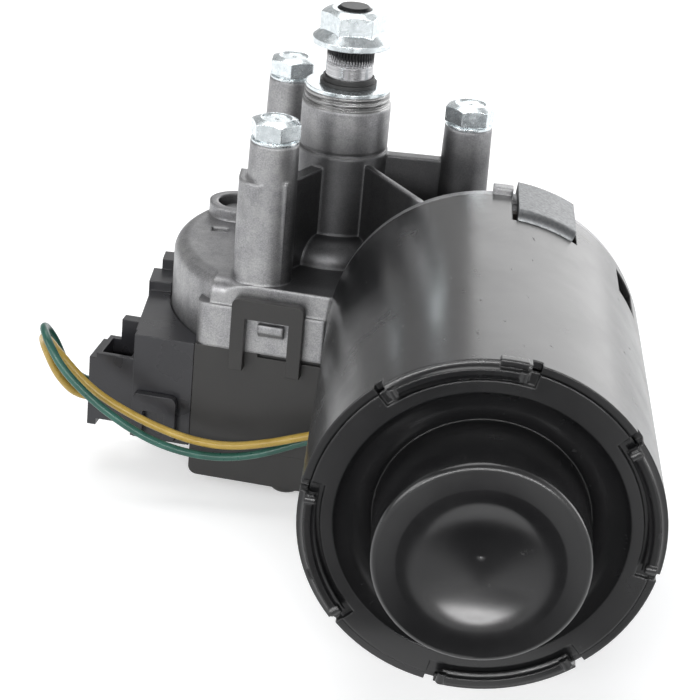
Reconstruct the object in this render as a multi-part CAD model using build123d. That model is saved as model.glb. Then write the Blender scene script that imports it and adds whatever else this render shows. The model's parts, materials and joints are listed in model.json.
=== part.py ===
from build123d import *
import math
import os

# Wiper motor with worm gearbox. Millimetres, +Z up along the output shaft, origin on the
# shaft axis at the top of the tower washer. The motor axis is parallel to Y and the can
# points towards -Y. The gearbox front wall, cover and connector are turned about Z.

# ---- fits ----
RUN = 0.05          # radial running fit of a shaft or a sliding brush
SEAT = 0.02         # same-body seat that should not touch
GAP = 0.3           # between pieces that move past each other

# ---- output shaft and gear ----
SHAFT_R = 5.0
SHAFT_TAIL = 7.3      # shaft below the wheel's mid plane
KNURL_STEP = 0.4      # knurled end stands proud of the shaft
KNURL_TEETH = 48
KNURL_DEPTH = 0.35
KNURL_START = 4.9
NUT_Z = 9.5
NUT_AF = 13.0
NUT_H = 8.0
NUT_FLANGE_R = 8.95
NUT_FLANGE_T = 1.3
STUD_R = 3.95
STUD_TOP = 18.15
SEAL_WALL = 1.1
SEAL_LIP_WALL = 0.5
MODULE = 1.1
WHEEL_TEETH = 54
WHEEL_W = 7.0
HUB_R = 9.0
WEB_T = 4.0
WORM_PITCH_R = 5.9
BACKLASH = 0.5
FLANK = math.tan(math.radians(20))
GEAR_DROP = 6.7       # from the roof to the motor axis and the wheel's mid plane

# ---- gear housing ----
TOWER_R = 10.2
RING_GROOVE = 0.5     # width and depth of the grooves that leave rings on the spigot
SPIGOT_R = 9.75
WASHER_T = 0.9
SPIGOT_H = 3.2
SEAT_END = -14.1      # foot of the turned seat on the tower
TOWER_LOWER_R = 10.4
TOWER_FILLET = 6.0
BUSH_R = 7.0
BUSH_L = 15.0
ROOF_Z = -39.6
ROOF_T = 2.6
HOUSING_WALL = 5.7
WHEEL_ROOM = 0.8      # between the wheel's teeth and the chamber wall
CHAMBER_DROP = 9.2    # from the motor axis to the joint face of the cover
SKIRT_H = 5.5
SKIRT_T = 2.2
FRONT_TURN = -8.5   # degrees about Z of the front wall, cover and connector
FRONT_WALL = 1.7      # thinnest place of the front wall
FRONT_LEFT = -24.2  # ends of the front wall, along the turned X axis
FRONT_RIGHT = 5.4
BAND_DROP = 5.6
BAND_T = 0.6
BOSS_CIRCLE_R = 28.35
BOSS_R = 5.45
BOSS_FOOT_R = 6.1
BOSS_Z = -7.3
BOLT_R = 3.0
BOLT_L = 14.0
BOLT_AF = 10.0
BOLT_HEAD_H = 4.7
BOLT_WASHER_T = 0.64
DISH_R = 3.4
DISH_DEPTH = 0.35
WEB = 3.0
WEB_Z = -15.8
TUNNEL_R = 10.4
TUNNEL_END = 27.0
RING_BOSS_X = -24.0    # raised ring on the chamber roof
RING_BOSS_Y = 15.0
RING_BOSS_R = 7.2
RING_BOSS_H = 3.0

# ---- motor can ----
CAN_R = 34.6
CAN_WALL = 1.6
CAN_BACK = -33.0
CAN_FRONT = -121.6
FLANGE_T = 3.0
SPIGOT_L = 3.6
LIP_ANGLES = (14, 104, 196, 284)
LIP_SPAN = 47.0
LIP_IN = 3.6
LIP_RISE = 2.2
LIP_T = 1.6
LIP_CURL_R = 0.9
POCKET = 3.2          # degrees cut out of the rim at each end of a lip
EAR_ANGLE = 86.0      # bulge in the rim at one end of the upper lip
NOTCH_ANGLE = 202.6   # nick in the outer corner of the left lip
LIP_SLOT = 0.8        # dark slot in the cap along each lip's inner edge
CLIP_ANGLES = (73, 313, 253)
CLIP_SPAN = 24.5      # window in the can; the clip is narrower
CLIP_FRONT = -46.8
SLOT_ANGLE = 33.0
CAP_T = 1.6
GROMMET_R = 3.1
DOME_R = 20.2
DOME_H = 15.3
DIMPLE_R = 15.5
DIMPLE_DEPTH = 4.0
DIMPLE_LIP_R = 8.0    # radius of the soft edge that runs into the dimple
VALLEY_DEPTH = 3.9    # from the ring's face down to the foot of the dome

# ---- armature ----
ARM_SHAFT_R = 4.0
WORM_TURNS = 6
AIR_GAP = 1.35
CORE_BACK = -63.0
CORE_SETBACK = 19.6   # from the can's front edge to the core
SLOTS = 12
SLOT_W = 3.6
SLOT_FLOOR = 12.5
COIL_STEP = 2.4
COIL_L = 7.5
COMM_R = 10.5
COMM_BORE = 7.6
COMM_BACK = -43.5
COMM_FRONT = -55.0
BEARING_R = 11.0
BEARING_W = 7.0
MAGNET_T = 6.2
MAGNET_SPAN = 66.0
MAGNET_L = 44.0
DOME_BEARING_R = 8.0
DOME_BEARING_SETBACK = 10.1
ARM_SETBACK = 6.0

# ---- brushes ----
PLATE_BACK = -37.2
PLATE_T = 2.0
BRUSH = 6.0
BRUSH_L = 11.0
HOLDER_T = 0.6
BRUSH_ANGLES = (0, 180, 270)
CHOKE_ANGLES = (45, 135)

# ---- cover, connector ----
COVER_GAP = 0.4
COVER_DEPTH = 10.5
GASKET_W = 2.4
POD_DEPTH = 24.5
STEP_DEPTH = 8.6
RIB_H = 1.2
LATCH_W = 16.4
LATCH_DROP = 2.4      # below the roof
LATCH_FOOT_DROP = 3.8   # below the joint face
LATCH_LEG = 3.2
LATCH_T = 2.0
BLOCK_LEFT = -42.6
BLOCK_RIGHT = -23.9
BLOCK_DROP = 0.1
BLOCK_FOOT = 1.2
BLOCK_BACK = 0.0
SOCKET_LEFT = -48.6
SOCKET_RIGHT = -38.6
SOCKET_DROP = 6.4
SOCKET_FLOOR = 2.6
SOCKET_DEPTH = 11.0
SOCKET_WALL = 1.1
PIN_W = 2.2
PIN_T = 0.8

# ---- wires ----
WIRE_R = 0.95
WIRE_GAP = 2.3

# ---- places and sizes that follow from the ones above ----
CENTRE_DISTANCE = MODULE * WHEEL_TEETH / 2 + WORM_PITCH_R
MX = CENTRE_DISTANCE
LEAD = math.pi * MODULE
GEAR_Z = round(ROOF_Z - GEAR_DROP, 6)
SHAFT_BOTTOM = GEAR_Z - SHAFT_TAIL
KNURL_R = SHAFT_R + KNURL_STEP
SEAL_R = KNURL_R + SEAL_WALL
SEAL_LIP_R = KNURL_R + SEAL_LIP_WALL
CAVITY_R = MODULE * (WHEEL_TEETH / 2 + 1) + WHEEL_ROOM
HOUSING_R = CAVITY_R + HOUSING_WALL
GASKET_R = CAVITY_R + GASKET_W + 0.4
FRONT_W = -CAVITY_R - FRONT_WALL      # front wall, along the turned Y axis
BAND_Z = ROOF_Z - BAND_DROP
BOTTOM_Z = GEAR_Z - CHAMBER_DROP
SKIRT_Z = BOTTOM_Z - SKIRT_H
COVER_FLOOR_Z = BOTTOM_Z - COVER_DEPTH
POD_Z = BOTTOM_Z - POD_DEPTH
STEP_Z = POD_Z - STEP_DEPTH
CORE_R = CAN_R - CAN_WALL - 0.05 - MAGNET_T - AIR_GAP
CORE_FRONT = CAN_FRONT + CORE_SETBACK
COIL_R = CORE_R - COIL_STEP
DOME_FRONT = CAN_FRONT - DOME_H
DOME_BEARING_Y = DOME_FRONT + DOME_BEARING_SETBACK
ARM_END = DOME_FRONT + ARM_SETBACK
LATCH_RIGHT = MX - CAN_R
LATCH_LEFT = LATCH_RIGHT - LATCH_W
LATCH_TOP = ROOF_Z - LATCH_DROP
LATCH_FOOT = BOTTOM_Z - LATCH_FOOT_DROP
BLOCK_TOP = BOTTOM_Z - BLOCK_DROP
BLOCK_BOTTOM = POD_Z - BLOCK_FOOT
SOCKET_TOP = BLOCK_TOP - SOCKET_DROP
SOCKET_BOTTOM = BLOCK_BOTTOM + SOCKET_FLOOR
TURNED = Rot(0, 0, FRONT_TURN)


# ---------------------------------------------------------------- shapes
def rod(radius, low, high, x=0, y=0):
    """Cylinder along Z between two heights."""
    return Pos(x, y, (low + high) / 2) * Cylinder(radius, high - low)


def rod_y(radius, start, end, x=MX, z=GEAR_Z):
    """Cylinder along Y, on the motor axis unless told otherwise."""
    return Pos(x, (start + end) / 2, z) * Rot(90, 0, 0) * Cylinder(radius, abs(end - start))


def block(x0, x1, y0, y1, z0, z1):
    """Box between two corners."""
    middle = Pos((x0 + x1) / 2, (y0 + y1) / 2, (z0 + z1) / 2)
    return middle * Box(abs(x1 - x0), abs(y1 - y0), abs(z1 - z0))


def sector(inner, outer, y0, y1, centre, span):
    """Piece of a tube about the motor axis, between two radii and two angles."""
    half = math.radians(span / 2)
    arc = [(math.cos(a), math.sin(a)) for a in (-half, 0, half)]
    edge = [
        ThreePointArc(*[(outer * c, outer * s) for c, s in arc]),
        Line((outer * arc[2][0], outer * arc[2][1]), (inner * arc[2][0], inner * arc[2][1])),
        ThreePointArc(*[(inner * c, inner * s) for c, s in reversed(arc)]),
        Line((inner * arc[0][0], inner * arc[0][1]), (outer * arc[0][0], outer * arc[0][1])),
    ]
    flat = make_face(edge)
    solid = extrude(flat, abs(y1 - y0))
    return Pos(MX, max(y0, y1), GEAR_Z) * Rot(90, 0, 0) * Rot(0, 0, centre) * solid


def turned_about_shaft(profile):
    """Solid of revolution about the output shaft; profile points are (radius, z)."""
    return Rot(90, 0, 0) * revolve(make_face(profile), Axis.Y)


def turned_about_motor(profile):
    """Solid of revolution about the motor axis; profile points are (radius, y)."""
    face = make_face(profile)
    return Pos(MX, 0, GEAR_Z) * revolve(face, Axis.Y)


def hexagon(across, low, high, spin=0):
    shape = RegularPolygon(across / 2, 6, major_radius=False)
    return Pos(0, 0, low) * Rot(0, 0, spin) * extrude(shape, high - low)


def chamfered_top(radius, low, high, slope):
    """Cone that trims the corners off a hexagon's upper face."""
    cut = slope * 2
    tip = Pos(0, 0, high - slope / 2) * Cone(radius, radius - cut * 1.2, slope)
    return tip + rod(radius, low, high - slope)


def ring_positions(radius, angles):
    return [Pos(radius * math.cos(math.radians(a)), radius * math.sin(math.radians(a)), 0)
            for a in angles]


def save(shape, name):
    export_step(shape, f"parts/{name}.step")


BOSSES = ring_positions(BOSS_CIRCLE_R, (0, 120, 240))


# ---------------------------------------------------------------- gear housing
def tower():
    top = -WASHER_T
    step = top - SPIGOT_H
    foot = ROOF_Z
    lower = TOWER_LOWER_R
    outline = [
        Polyline((0, top), (SPIGOT_R, top), (SPIGOT_R, step), (TOWER_R, step),
                 (TOWER_R, SEAT_END), (TOWER_R - 0.3, SEAT_END), (TOWER_R - 0.3, SEAT_END - 0.8),
                 (lower, SEAT_END - 0.8), (lower, foot + TOWER_FILLET)),
        RadiusArc((lower, foot + TOWER_FILLET), (lower + TOWER_FILLET, foot), TOWER_FILLET),
        Polyline((lower + TOWER_FILLET, foot), (lower + TOWER_FILLET, foot - ROOF_T),
                 (0, foot - ROOF_T), (0, top)),
    ]
    body = turned_about_shaft(outline)
    for depth in (0.8, 2.2):
        groove = rod(SPIGOT_R + 1, top - depth - RING_GROOVE, top - depth)
        body -= groove - rod(SPIGOT_R - RING_GROOVE, top - depth - 1, top)
    return body


def gear_case():
    """Round gear chamber with a flat, turned front wall and a skirt on its left."""
    drum = rod(HOUSING_R, BOTTOM_Z, ROOF_Z)
    drum = fillet(drum.edges().group_by(Axis.Z)[-1], 3.5)
    front = block(FRONT_LEFT + 3, FRONT_RIGHT, FRONT_W + BAND_T, 0, BOTTOM_Z, ROOF_Z)
    front = fillet(front.edges().filter_by(Axis.X).group_by(Axis.Z)[-1].group_by(Axis.Y)[0], 3.5)
    lug = block(FRONT_LEFT, FRONT_LEFT + 8, FRONT_W, -18, BOTTOM_Z, BAND_Z)
    band = block(FRONT_LEFT + 5, FRONT_RIGHT, FRONT_W, -24, BOTTOM_Z, BAND_Z)
    lug = fillet(lug.edges().filter_by(Axis.Z).group_by(Axis.Y)[0].group_by(Axis.X)[0], 2.5)
    ahead = block(-80, 80, -80, FRONT_W + BAND_T, BOTTOM_Z - 1, ROOF_Z + 1)
    case = (drum - TURNED * ahead) + TURNED * front + TURNED * (lug + band)
    skirt = rod(HOUSING_R, SKIRT_Z, BOTTOM_Z) - rod(HOUSING_R - SKIRT_T, SKIRT_Z - 1, BOTTOM_Z + 1)
    keep = block(-60, -18, -27.0, 24, SKIRT_Z - 1, BOTTOM_Z + 1)
    return case + (skirt & keep)


def motor_mount():
    """Flange that carries the can, tunnel for the worm, and the block between them."""
    disc = rod_y(CAN_R - 0.3, CAN_BACK, CAN_BACK + FLANGE_T)
    pilot = rod_y(CAN_R - CAN_WALL - SEAT, CAN_BACK - SPIGOT_L, CAN_BACK)
    neck = Pos(MX, CAN_BACK + FLANGE_T + 5, GEAR_Z) * Rot(90, 0, 0) * Cone(24, 15, 10)
    tunnel = rod_y(TUNNEL_R, CAN_BACK + FLANGE_T, TUNNEL_END)
    tunnel = fillet(tunnel.edges().group_by(Axis.Y)[-1], 1.5)
    cheek = block(4, MX, CAN_BACK + FLANGE_T, TUNNEL_END - 4, BOTTOM_Z, ROOF_Z - 0.5)
    under = block(-10, 90, CAN_BACK + FLANGE_T, TUNNEL_END + 1, BOTTOM_Z - 30, BOTTOM_Z)
    ear = sector(CAN_R - 3, CAN_R + 1.5, CAN_BACK + GAP, CAN_BACK + FLANGE_T, 88.6, 7.0)
    return disc + pilot + ear + ((neck + tunnel + cheek) - under)


def bosses():
    shape = None
    for place in BOSSES:
        height = BOSS_Z - (ROOF_Z - 1)
        post = place * Pos(0, 0, BOSS_Z - height / 2) * Cone(BOSS_FOOT_R, BOSS_R, height)
        shape = post if shape is None else shape + post
    return shape


def webs():
    """Upright webs from the tower to each boss, and the rib to the can flange."""
    length = BOSS_CIRCLE_R - 6
    plate = block(6, 6 + length, -WEB / 2, WEB / 2, ROOF_Z - 1, WEB_Z)
    shape = plate
    for angle, drop in ((120, 2.0), (240, 2.0)):
        low = block(6, 6 + length, -WEB / 2, WEB / 2, ROOF_Z - 1, WEB_Z - drop)
        shape += Rot(0, 0, angle) * low
    pad = block(-21.5, -13.4, -30.0, -20.0, ROOF_Z - 1, -16.0)
    pad = fillet(pad.edges().filter_by(Axis.Z).group_by(Axis.X)[0].group_by(Axis.Y)[0], 5.0)
    strip = block(-13.5, -10.4, -29.4, -20.0, ROOF_Z - 1, -15.4)
    start = Vector(5.0, -6.4, 0)
    end = Vector(19.6, CAN_BACK + FLANGE_T, 0)
    along = (end - start).length
    rib = block(0, along, -0.7, 0.7, ROOF_Z - 1, -16.4)
    turn = math.degrees(math.atan2(end.Y - start.Y, end.X - start.X))
    rib = Pos(start.X, start.Y, 0) * Rot(0, 0, turn) * rib
    return shape + pad + strip + rib


def housing_bores():
    """Everything machined or cored out of the casting."""
    ceiling = ROOF_Z - ROOF_T
    cut = rod(CAVITY_R, BOTTOM_Z - 8, ceiling)
    cut += rod(BUSH_R, -WASHER_T - BUSH_L, 1)
    cut += rod(SHAFT_R + 0.8, -WASHER_T - BUSH_L - 20, 1)
    cut += rod(BUSH_R, ceiling - 1, ceiling + BUSH_L - 3)
    cut += rod_y(WORM_PITCH_R + MODULE + 0.7, CAN_BACK - 5, TUNNEL_END - 11)
    cut += rod_y(6.5, 10, TUNNEL_END - 3.5)
    cut += rod_y(4.1, 10, TUNNEL_END + 1)
    cut += rod_y(BEARING_R + SEAT, CAN_BACK - SPIGOT_L - 1, CAN_BACK - SPIGOT_L + BEARING_W)
    for place in BOSSES:
        cut += place * rod(BOLT_R + RUN, BOSS_Z - BOLT_L - 2, BOSS_Z + 1)
    return cut


def gear_housing():
    body = tower() + gear_case() + motor_mount() + bosses() + webs()
    place = Pos(RING_BOSS_X, RING_BOSS_Y, 0)
    groove = rod(RING_BOSS_R - 2.0, ROOF_Z - 0.8, ROOF_Z + RING_BOSS_H + 1)
    groove -= rod(3.4, ROOF_Z - 2, ROOF_Z + 1.2)
    body = body + place * rod(RING_BOSS_R, ROOF_Z - 8, ROOF_Z + RING_BOSS_H) - place * groove
    body -= Pos(-27.3, 2.6, 0) * block(-2, 2, -1.5, 1.5, ROOF_Z - 1.4, ROOF_Z + 1)
    slot = block(27.6, 29.6, -6.6, -4.4, -22, -15.6)
    body -= Rot(0, 0, 3) * slot
    lug = block(-9.4, -3.6, FRONT_W - 1.7, FRONT_W + 1, BAND_Z - 5.8, BAND_Z - 2.6)
    lug = chamfer(lug.edges().filter_by(Axis.X).group_by(Axis.Z)[0].group_by(Axis.Y)[0], 1.4)
    body += TURNED * lug
    body -= housing_bores()
    can_end = rod_y(CAN_R + GAP, CAN_BACK - 30, CAN_BACK) - rod_y(CAN_R - CAN_WALL, -90, 0)
    return body - can_end


def bushes():
    top = rod(BUSH_R - SEAT, -WASHER_T - BUSH_L, -WASHER_T) - rod(SHAFT_R + RUN, -40, 0)
    ceiling = ROOF_Z - ROOF_T
    low = rod(BUSH_R - SEAT, ceiling, ceiling + BUSH_L - 3) - rod(SHAFT_R + RUN, -60, 0)
    return top, low


def tower_trim():
    washer = rod(SPIGOT_R - 0.05, -WASHER_T, 0) - rod(KNURL_R + 0.45, -2, 1)
    seal = rod(SEAL_R, 0, 0.9) + rod(SEAL_LIP_R, 0, 1.9) - rod(KNURL_R + RUN, -1, 3)
    return washer, seal


def mounting_bolts():
    made = []
    for index, place in enumerate(BOSSES):
        head_z = BOSS_Z + BOLT_WASHER_T
        top = head_z + BOLT_HEAD_H
        head = hexagon(BOLT_AF, head_z + 0.5, top, 12 + 17 * index)
        corner = BOLT_AF / 2 / math.cos(math.pi / 6)
        head = head & chamfered_top(corner, head_z, top, 0.9)
        head += rod(BOLT_AF / 2 - 0.1, head_z, head_z + 1)
        head -= Pos(0, 0, top) * Cone(DISH_R - DISH_DEPTH, DISH_R + DISH_DEPTH, 2 * DISH_DEPTH)
        head -= rod(0.5, top - 1, top)
        shank = rod(BOLT_R, BOSS_Z - BOLT_L, head_z)
        made.append(place * (head + shank))
    return Compound(children=made)


def bolt_washers():
    ring = rod(BOSS_R - 0.1, BOSS_Z, BOSS_Z + BOLT_WASHER_T) - rod(BOLT_R + RUN, BOSS_Z - 1, 0)
    return Compound(children=[place * ring for place in BOSSES])


# ---------------------------------------------------------------- output group
def output_shaft():
    shaft = rod(SHAFT_R, SHAFT_BOTTOM, 0.6)
    shaft += rod(KNURL_R, 0.2, KNURL_START)
    points = []
    for tooth in range(KNURL_TEETH):
        for radius, part in ((KNURL_R, 0), (KNURL_R, 0.35), (KNURL_R - KNURL_DEPTH, 0.7)):
            angle = 2 * math.pi * (tooth + part) / KNURL_TEETH
            points.append((radius * math.cos(angle), radius * math.sin(angle)))
    knurl = extrude(make_face(Polyline(*points, close=True)), NUT_Z - 0.3 - KNURL_START)
    shaft += Pos(0, 0, KNURL_START) * knurl
    stud = rod(STUD_R, NUT_Z - 1, STUD_TOP)
    stud = chamfer(stud.edges().group_by(Axis.Z)[-1], 0.7)
    shaft += stud
    groove = rod(SHAFT_R + 1, GEAR_Z - WHEEL_W / 2 - 1.4, GEAR_Z - WHEEL_W / 2 - 0.5)
    shaft -= groove - rod(SHAFT_R - 0.6, SHAFT_BOTTOM, 0)
    return chamfer(shaft.edges().group_by(Axis.Z)[0], 0.6)


def flange_nut():
    nut = hexagon(NUT_AF, NUT_Z, NUT_Z + NUT_H, 8)
    corner = NUT_AF / 2 / math.cos(math.pi / 6)
    nut = nut & chamfered_top(corner, NUT_Z, NUT_Z + NUT_H, 1.0)
    skirt = Pos(0, 0, NUT_Z + NUT_FLANGE_T + 0.9) * Cone(NUT_FLANGE_R, corner - 0.6, 1.8)
    nut += rod(NUT_FLANGE_R, NUT_Z, NUT_Z + NUT_FLANGE_T) + skirt
    return nut - rod(STUD_R + SEAT, NUT_Z - 1, NUT_Z + NUT_H + 1)


def wheel_outline(twist):
    """Closed tooth outline of the worm wheel, turned by twist degrees."""
    pitch_r = MODULE * WHEEL_TEETH / 2
    half = LEAD / 4
    levels = ((pitch_r - 1.25 * MODULE, half + 1.25 * MODULE * FLANK),
              (pitch_r + MODULE, half - MODULE * FLANK))
    points = []
    for tooth in range(WHEEL_TEETH):
        centre = 2 * math.pi * tooth / WHEEL_TEETH + math.radians(twist)
        (root, wide), (tip, narrow) = levels
        for radius, offset in ((root, -wide), (tip, -narrow), (tip, narrow), (root, wide)):
            angle = centre + offset / radius
            points.append((radius * math.cos(angle), radius * math.sin(angle)))
    return make_face(Polyline(*points, close=True))


def worm_wheel():
    pitch_r = MODULE * WHEEL_TEETH / 2
    slope = LEAD / (2 * math.pi * WORM_PITCH_R)
    twist = math.degrees(WHEEL_W * slope / pitch_r)
    low = Pos(0, 0, GEAR_Z - WHEEL_W / 2) * wheel_outline(-twist / 2)
    high = Pos(0, 0, GEAR_Z + WHEEL_W / 2) * wheel_outline(twist / 2)
    wheel = loft([low, high], ruled=True)
    pocket = rod(pitch_r - 4.2, 0, 9) - rod(HUB_R + 3, -1, 10)
    wheel -= Pos(0, 0, GEAR_Z + WEB_T / 2 - 1) * pocket
    return wheel - rod(HUB_R, -60, -30)


def wheel_hub():
    low = GEAR_Z - WHEEL_W / 2
    high = GEAR_Z + WHEEL_W / 2
    return rod(HUB_R - SEAT, low, high) - rod(SHAFT_R + SEAT, -60, -30)


def small_rings():
    """Thrust washer above the wheel and the circlip that holds the wheel on."""
    top = ROOF_Z - ROOF_T
    washer = rod(8.5, GEAR_Z + WHEEL_W / 2, top - 0.1) - rod(SHAFT_R + SEAT, -60, -30)
    z = GEAR_Z - WHEEL_W / 2 - 0.95
    clip = rod(SHAFT_R + 1.6, z - 0.4, z + 0.4) - rod(SHAFT_R - 0.55, z - 1, z + 1)
    clip -= block(0, 12, -2.0, 2.0, z - 1, z + 1)
    return washer, clip


def contact_disc():
    """Copper park ring with its switching notch, on the wheel's underside."""
    z = GEAR_Z - WHEEL_W / 2
    ring = rod(26.5, z - 0.5, z) - rod(11.5, z - 1, z + 1)
    gap = rod(22.5, z - 1, z + 1) - rod(17.5, z - 2, z + 2)
    wedge = Rot(0, 0, 200) * block(0, 40, -7, 7, z - 2, z + 2)
    return ring - (gap & wedge)


# ---------------------------------------------------------------- armature group
def armature_shaft():
    shaft = rod_y(ARM_SHAFT_R, ARM_END, -14)
    shaft += rod_y(WORM_PITCH_R - 1.4, -15, 12)
    shaft += rod_y(3.5, 11, TUNNEL_END - 3.4 - GAP)
    length = LEAD * WORM_TURNS
    spiral = Helix(LEAD, length, WORM_PITCH_R)
    half = LEAD / 4 - BACKLASH / 2
    inner = WORM_PITCH_R - 1.7
    outer = WORM_PITCH_R + MODULE
    thick = half + 1.7 * FLANK
    thin = half - MODULE * FLANK
    corners = [(inner, -thick), (outer, -thin), (outer, thin), (inner, thick)]
    tooth = make_face(Polyline(*[(r, 0, h) for r, h in corners], close=True))
    thread = sweep(tooth, path=spiral, is_frenet=True)
    thread = Pos(MX, -length / 2, GEAR_Z) * Rot(-90, 0, 0) * thread
    return shaft + thread


def armature_core():
    disc = Circle(CORE_R) - Circle(ARM_SHAFT_R + SEAT)
    for index in range(SLOTS):
        angle = 360 * index / SLOTS
        reach = CORE_R - 1.6
        slot = Pos((SLOT_FLOOR + reach) / 2, 0) * Rectangle(reach - SLOT_FLOOR, SLOT_W)
        mouth = Pos(CORE_R, 0) * Rectangle(6, 1.4)
        disc -= Rot(0, 0, angle) * (slot + mouth)
    solid = extrude(disc, abs(CORE_FRONT - CORE_BACK))
    return Pos(MX, CORE_BACK, GEAR_Z) * Rot(90, 0, 0) * solid


def armature_windings():
    """Copper in the slots, joined by a rounded overhang at each end of the core."""
    shape = None
    reach = CORE_R - 1.7
    for index in range(SLOTS):
        bar = block(SLOT_FLOOR + 0.1, reach, CORE_FRONT - 1, CORE_BACK + 1,
                    -SLOT_W / 2 + 0.1, SLOT_W / 2 - 0.1)
        bar = Pos(MX, 0, GEAR_Z) * Rot(0, 360 * index / SLOTS, 0) * bar
        shape = bar if shape is None else shape + bar
    for face, out in ((CORE_BACK, 1), (CORE_FRONT, -1)):
        end = rod_y(COIL_R, face + 0.1 * out, face + COIL_L * out)
        edge = end.edges().sort_by(Axis.Y)
        end = fillet(edge[-1] if out > 0 else edge[0], 3.0)
        shape += end - rod_y(ARM_SHAFT_R + 2.5, face - 20, face + 20)
    return shape


def commutator():
    hub = rod_y(COMM_BORE - SEAT, COMM_FRONT - 0.3, COMM_BACK + 0.6)
    hub -= rod_y(ARM_SHAFT_R + SEAT, -70, -30)
    bars = []
    step = 360 / SLOTS
    for index in range(SLOTS):
        bars.append(sector(COMM_BORE, COMM_R, COMM_FRONT, COMM_BACK, index * step, step - 3.4))
    return hub, Compound(children=bars)


def ball_bearing():
    """Outer race in the housing, inner race on the shaft, balls between."""
    back = CAN_BACK - SPIGOT_L + BEARING_W
    front = back - BEARING_W
    mid = (back + front) / 2
    ball_r = 1.9
    track = (BEARING_R + ARM_SHAFT_R) / 2 + 0.1
    torus = Pos(MX, mid, GEAR_Z) * Rot(90, 0, 0) * Torus(track, ball_r + 0.06)
    outer = rod_y(BEARING_R, front, back) - rod_y(track + 1.0, front - 1, back + 1) - torus
    inner = rod_y(track - 1.0, front, back) - rod_y(ARM_SHAFT_R + SEAT, front - 1, back + 1)
    inner -= torus
    balls = []
    for index in range(8):
        angle = 2 * math.pi * index / 8
        place = Pos(MX + track * math.cos(angle), mid, GEAR_Z + track * math.sin(angle))
        balls.append(place * Sphere(ball_r))
    return outer, inner, Compound(children=balls)


def dome_bearing():
    ball = Pos(MX, DOME_BEARING_Y, GEAR_Z) * Sphere(DOME_BEARING_R)
    ball &= rod_y(20, DOME_BEARING_Y - 4.5, DOME_BEARING_Y + 4.5)
    ball -= rod_y(ARM_SHAFT_R + RUN, DOME_BEARING_Y - 9, DOME_BEARING_Y + 9)
    spread = math.sqrt(DOME_BEARING_R ** 2 - 3.2 ** 2)
    low = DOME_BEARING_Y + 3.2
    reach = DOME_R - CAP_T - 0.35
    outline = Polyline((spread + 0.05, low), (reach, low + 0.6), (reach, low + 1.4),
                       (spread - 0.4, low + 0.9), close=True)
    spring = turned_about_motor(outline)
    return ball, spring


def worm_end():
    bush = rod_y(6.5 - SEAT, TUNNEL_END - 12, TUNNEL_END - 3.5)
    bush -= rod_y(3.5 + RUN, TUNNEL_END - 20, TUNNEL_END)
    screw = rod_y(4.05, TUNNEL_END - 3.4, TUNNEL_END - 0.6)
    return bush, screw


# ---------------------------------------------------------------- can group
def bow(a, b, rise):
    """Arc from a to b that stands off its chord by rise, to the left of travel."""
    length = math.dist(a, b)
    across = ((a[1] - b[1]) / length * rise, (b[0] - a[0]) / length * rise)
    middle = ((a[0] + b[0]) / 2 + across[0], (a[1] + b[1]) / 2 + across[1])
    return ThreePointArc(a, middle, b)


def lip_curl(angle):
    """Bead across the end of a rolled lip."""
    front = CAN_FRONT - LIP_RISE
    inner = CAN_R - LIP_IN + 0.4
    outer = CAN_R - 1.1
    bead = Rot(0, 90, 0) * Cylinder(LIP_CURL_R, outer - inner)
    return Pos(MX, front + 0.45, GEAR_Z) * Rot(0, -angle, 0) * Pos((inner + outer) / 2, 0, 0) * bead


def yoke_can():
    """Drawn tube whose front edge is rolled in over the end cap at four places."""
    bore = CAN_R - CAN_WALL
    front = CAN_FRONT - LIP_RISE
    inside = CAN_R - LIP_IN
    profile = [
        Polyline((bore, CAN_BACK), (CAN_R, CAN_BACK), (CAN_R, front + 1.4)),
        RadiusArc((CAN_R, front + 1.4), (CAN_R - 1.4, front), -1.4),
        Line((CAN_R - 1.4, front), (inside + 0.9, front + 0.1)),
        bow((inside + 0.9, front + 0.1), (inside, front + 1.0), -0.25),
        Polyline((inside, front + 1.0), (inside, front + LIP_T), (bore, front + LIP_T),
                 (bore, CAN_BACK)),
    ]
    can = turned_about_motor(profile)
    for centre in LIP_ANGLES:
        between = 90 - LIP_SPAN
        can -= sector(inside - 1, CAN_R + 1, front - 1, CAN_FRONT, centre + 45, between)
        for side in (-1, 1):
            angle = centre + side * (LIP_SPAN + POCKET) / 2
            can -= sector(inside - 1, CAN_R + 1, front - 1, CAN_FRONT + 1.7, angle, POCKET)
    for centre in LIP_ANGLES:
        for side in (-1, 1):
            can += lip_curl(centre + side * (LIP_SPAN / 2 - 1.9))
    ear = sector(CAN_R - 1, CAN_R + 0.5, front + 0.6, front + 2.8, EAR_ANGLE, 8.6)
    can += fillet(ear.edges().filter_by(GeomType.CIRCLE), 0.4)
    can -= sector(CAN_R - 1.2, CAN_R + 1, front - 1, front + 1.3, NOTCH_ANGLE, 3.6)
    for centre in CLIP_ANGLES:
        can -= sector(CAN_R - 3, CAN_R + 1, CLIP_FRONT - 0.8, CAN_BACK + 1, centre, CLIP_SPAN)
    can -= sector(CAN_R - 3, CAN_R + 1, -50.0, -37.0, SLOT_ANGLE, 12)
    return can - grommet_rod(GROMMET_R + RUN, 12, 6)


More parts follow.
